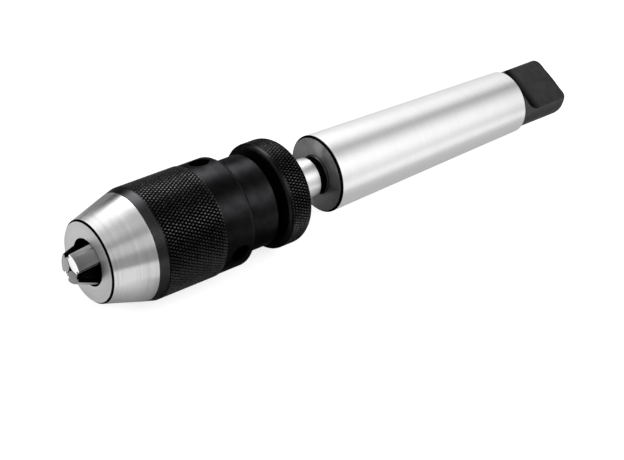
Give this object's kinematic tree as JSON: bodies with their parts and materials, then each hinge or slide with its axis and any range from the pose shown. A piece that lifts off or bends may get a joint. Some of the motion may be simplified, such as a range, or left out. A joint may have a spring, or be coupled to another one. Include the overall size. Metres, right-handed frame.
{
  "type": "keyless drill chuck with arbor",
  "caption": "Keyless drill chuck with a knurled sleeve, tapered nose and slanted jaws, on a short-taper arbor with a long self-holding taper shank and flat tang.",
  "frame": {"origin": "centre of the gauge plane of the arbor's long taper, 5 mm behind the arbor's front face", "axes": "+X along the tool axis from the nose to the tang, +Z square to the flats of the tang"},
  "size_m": [0.1858, 0.0336, 0.0336],
  "materials": {
    "ground_steel": "ground bright, black oxide on the front face, undercut and tang",
    "black_steel": "black oxide, satin",
    "satin_steel": "finely turned, satin",
    "hard_steel": "hardened and ground",
    "bearing_steel": "polished",
    "brass": "turned"
  },
  "bodies": {
    "static": {"arbor": "ground_steel", "chuck_body": "black_steel", "rear_ring": "black_steel", "race_front": "bearing_steel"},
    "sleeve": {"nose_cone": "satin_steel", "knurled_sleeve": "black_steel", "jaw_guide": "black_steel", "retaining_nut": "black_steel", "race_rear": "bearing_steel"},
    "screw": {"drive_screw": "hard_steel"},
    "jaw_one": {"jaw_1": "hard_steel"},
    "jaw_two": {"jaw_2": "hard_steel"},
    "jaw_three": {"jaw_3": "hard_steel"},
    "ball_set": {"ball_cage": "brass", "ball_01": "bearing_steel", "ball_02": "bearing_steel", "ball_03": "bearing_steel", "ball_04": "bearing_steel", "ball_05": "bearing_steel", "ball_06": "bearing_steel", "ball_07": "bearing_steel", "ball_08": "bearing_steel", "ball_09": "bearing_steel", "ball_10": "bearing_steel", "ball_11": "bearing_steel", "ball_12": "bearing_steel"}
  },
  "joints": [
    {"name": "sleeve_spin", "type": "hinge", "parent": "static", "child": "sleeve", "pos_m": [-0.0613, 0, 0], "axis": [-1, 0, 0], "range_deg": [-39, 1740]},
    {"name": "screw_slide", "type": "slide", "parent": "sleeve", "child": "screw", "axis": [1, 0, 0], "range_m": [-0.00028, 0.01209]},
    {"name": "balls_spin", "type": "hinge", "parent": "static", "child": "ball_set", "pos_m": [-0.04667, 0, 0], "axis": [-1, 0, 0], "range_deg": [-20, 871]},
    {"name": "jaw_1_slide", "type": "slide", "parent": "sleeve", "child": "jaw_one", "axis": [0.9397, -0.0476, 0.3387], "range_m": [-0.0003, 0.01288]},
    {"name": "jaw_2_slide", "type": "slide", "parent": "sleeve", "child": "jaw_two", "axis": [0.9397, -0.2695, -0.2106], "range_m": [-0.0003, 0.01288]},
    {"name": "jaw_3_slide", "type": "slide", "parent": "sleeve", "child": "jaw_three", "axis": [0.9397, 0.3171, -0.1281], "range_m": [-0.0003, 0.01288]}
  ],
  "couplings": [
    {"joint": "screw_slide", "follows": "sleeve_spin", "m_per_rad": 0.00039789},
    {"joint": "balls_spin", "follows": "sleeve_spin", "ratio": 0.5},
    {"joint": "jaw_1_slide", "follows": "sleeve_spin", "m_per_rad": 0.00042342},
    {"joint": "jaw_2_slide", "follows": "sleeve_spin", "m_per_rad": 0.00042342},
    {"joint": "jaw_3_slide", "follows": "sleeve_spin", "m_per_rad": 0.00042342}
  ]
}
